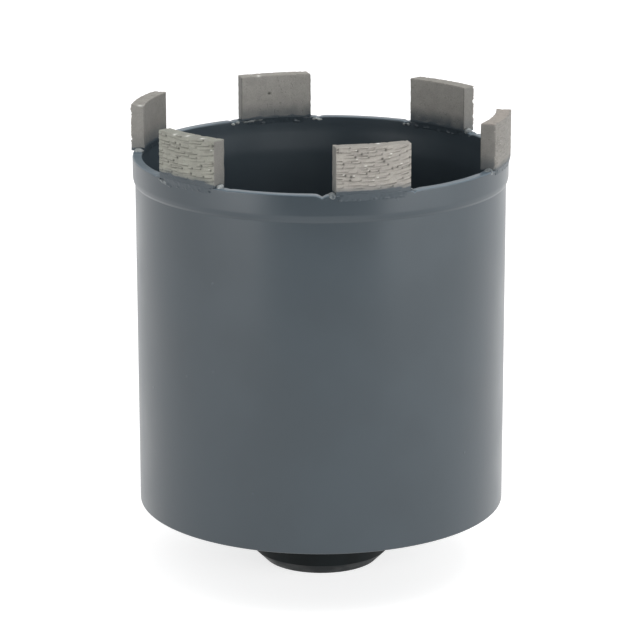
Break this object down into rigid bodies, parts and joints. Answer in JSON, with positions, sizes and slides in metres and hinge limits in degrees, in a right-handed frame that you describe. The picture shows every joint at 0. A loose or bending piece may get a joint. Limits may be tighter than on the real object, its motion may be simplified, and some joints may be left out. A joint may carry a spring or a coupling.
{
  "type": "diamond core bit",
  "caption": "Cup-shaped core bit for a wall socket hole, with curved diamond segments welded to a widened rim and a threaded hub on its closed end.",
  "frame": {"origin": "centre of the hub's end face, on which the bit stands", "axes": "+Z along the turning axis, from the hub to the cutting edge; X and Y across it, with the middle of segment 1 at 45.5 degrees from +X"},
  "size_m": [0.0822, 0.0822, 0.1016],
  "materials": {
    "grey_paint": "satin slate grey paint over steel, with a slight orange peel",
    "black_steel": "satin black finish over turned steel",
    "sintered_metal": "matt warm grey sintered metal with ground diamond grit"
  },
  "bodies": {
    "root": {"barrel": "grey_paint", "base_plate": "grey_paint", "plate_weld": "grey_paint", "hub": "black_steel", "hub_weld": "black_steel", "segment_1": "sintered_metal", "segment_2": "sintered_metal", "segment_3": "sintered_metal", "segment_4": "sintered_metal", "segment_5": "sintered_metal", "segment_6": "sintered_metal", "segment_weld_1": "grey_paint", "segment_weld_2": "grey_paint", "segment_weld_3": "grey_paint", "segment_weld_4": "grey_paint", "segment_weld_5": "grey_paint", "segment_weld_6": "grey_paint"}
  },
  "joints": []
}
